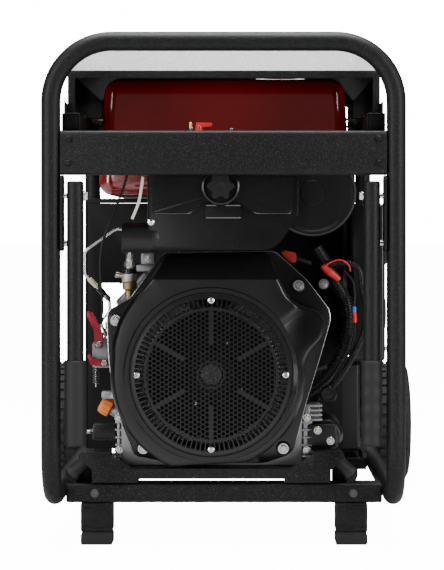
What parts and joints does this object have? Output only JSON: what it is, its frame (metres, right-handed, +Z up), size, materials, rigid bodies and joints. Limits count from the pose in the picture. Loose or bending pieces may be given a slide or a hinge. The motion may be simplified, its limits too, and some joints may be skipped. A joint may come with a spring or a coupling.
{
  "type": "portable generator",
  "caption": "Open-frame diesel generator with an air-cooled V engine, red tank under a hood, fold-down handles, wheels and feet.",
  "frame": {"origin": "centre of the footprint, on the floor", "axes": "+Z up, +Y from the engine's fan and handles to the wheels, +X to the right facing the fan"},
  "size_m": [0.766, 1.0552, 0.8594],
  "materials": {
    "frame_black": "textured powder coat",
    "satin_black_steel": "satin",
    "black_plastic": "moulded satin",
    "black_rubber": "matte",
    "tyre_rubber": "matte",
    "red_enamel": "gloss",
    "red_plastic": "satin",
    "orange_plastic": "satin",
    "cast_aluminium": "as cast",
    "bright_steel": "zinc plated",
    "cast_iron": "raw",
    "muffler_shell": "heat-proof coating",
    "filter_paper": "pleated paper"
  },
  "bodies": {
    "machine": {"front_hoop": "frame_black", "rear_hoop": "frame_black", "front_cross_tube": "frame_black", "alternator_beam": "frame_black", "upper_rail_left": "frame_black", "upper_rail_right": "frame_black", "front_crossbar": "frame_black", "rear_crossbar": "frame_black", "hood": "frame_black", "engine_beam": "frame_black", "foot_left": "frame_black", "foot_right": "frame_black", "handle_bracket_left": "frame_black", "handle_bracket_right": "frame_black", "fan_shroud": "satin_black_steel", "fan_grille": "satin_black_steel", "starter_motor": "satin_black_steel", "air_cleaner_body": "black_plastic", "air_cleaner_cover": "black_plastic", "power_socket": "black_plastic", "battery": "black_plastic", "wiring_loom_thick": "black_plastic", "wiring_loom_thin": "black_plastic", "control_panel": "black_plastic", "foot_pad_left": "black_rubber", "foot_pad_right": "black_rubber", "mount_front_left": "black_rubber", "mount_front_right": "black_rubber", "mount_rear": "black_rubber", "fuel_tank": "red_enamel", "crankcase": "cast_aluminium", "cylinder_left": "cast_aluminium", "cylinder_right": "cast_aluminium", "injection_pump": "cast_aluminium", "alternator_housing": "cast_aluminium", "alternator_end_cover": "cast_aluminium", "axle": "bright_steel", "injector": "bright_steel", "injection_pipe": "bright_steel", "muffler": "muffler_shell", "air_filter_element": "filter_paper"},
    "crank": {"crankshaft": "bright_steel", "flywheel_fan": "cast_iron", "alternator_rotor": "cast_iron"},
    "handle_left_arm": {"handle_left": "frame_black", "grip_left": "black_rubber"},
    "handle_right_arm": {"handle_right": "frame_black", "grip_right": "black_rubber"},
    "wheel_left": {"tyre_left": "tyre_rubber", "rim_left": "bright_steel"},
    "wheel_right": {"tyre_right": "tyre_rubber", "rim_right": "bright_steel"},
    "filler_cap": {"fuel_cap": "black_plastic"},
    "tap": {"fuel_tap_lever": "red_plastic"},
    "cover_knob": {"air_cleaner_knob": "black_plastic"},
    "throttle": {"throttle_lever": "red_plastic"},
    "stop": {"stop_lever": "red_plastic"},
    "oil_filler_cap": {"oil_cap": "orange_plastic"},
    "key": {"key_switch": "bright_steel"},
    "breaker": {"breaker_toggle": "black_plastic"}
  },
  "joints": [
    {"name": "crank_spin", "type": "hinge", "parent": "machine", "child": "crank", "pos_m": [-0.0215, -0.0744, 0.29], "axis": [0, 1, 0], "continuous": true},
    {"name": "handle_left_fold", "type": "hinge", "parent": "machine", "child": "handle_left_arm", "pos_m": [-0.244, -0.5094, 0.59], "axis": [-1, 0, 0], "range_deg": [0, 90]},
    {"name": "handle_right_fold", "type": "hinge", "parent": "machine", "child": "handle_right_arm", "pos_m": [0.244, -0.5094, 0.59], "axis": [-1, 0, 0], "range_deg": [0, 90]},
    {"name": "wheel_left_spin", "type": "hinge", "parent": "machine", "child": "wheel_left", "pos_m": [-0.3435, 0.4006, 0.127], "axis": [1, 0, 0], "continuous": true},
    {"name": "wheel_right_spin", "type": "hinge", "parent": "machine", "child": "wheel_right", "pos_m": [0.3435, 0.4006, 0.127], "axis": [1, 0, 0], "continuous": true},
    {"name": "fuel_cap_turn", "type": "hinge", "parent": "machine", "child": "filler_cap", "pos_m": [0.1, -0.2294, 0.8153], "axis": [0, 0, 1], "range_deg": [0, 90]},
    {"name": "fuel_tap_turn", "type": "hinge", "parent": "machine", "child": "tap", "pos_m": [-0.041, -0.4694, 0.6973], "axis": [0, 0, 1], "range_deg": [0, 90]},
    {"name": "cover_knob_turn", "type": "hinge", "parent": "machine", "child": "cover_knob", "pos_m": [-0.005, -0.4857, 0.6065], "axis": [0, -1, 0], "continuous": true},
    {"name": "throttle_swing", "type": "hinge", "parent": "machine", "child": "throttle", "pos_m": [-0.216, -0.3634, 0.337], "axis": [0, -1, 0], "range_deg": [0, 35]},
    {"name": "stop_swing", "type": "hinge", "parent": "machine", "child": "stop", "pos_m": [-0.206, -0.3634, 0.305], "axis": [0, -1, 0], "range_deg": [0, 25], "stiffness_Nm_per_rad": 0.05},
    {"name": "oil_cap_turn", "type": "hinge", "parent": "machine", "child": "oil_filler_cap", "pos_m": [-0.19676, -0.3398, 0.22365], "axis": [-0.8762, 0, 0.4819], "continuous": true},
    {"name": "key_turn", "type": "hinge", "parent": "machine", "child": "key", "pos_m": [0.2848, 0.1406, 0.5], "axis": [1, 0, 0], "range_deg": [0, 90]},
    {"name": "breaker_flip", "type": "hinge", "parent": "machine", "child": "breaker", "pos_m": [0.2898, -0.0094, 0.5], "axis": [0, 1, 0], "range_deg": [0, 60]}
  ]
}
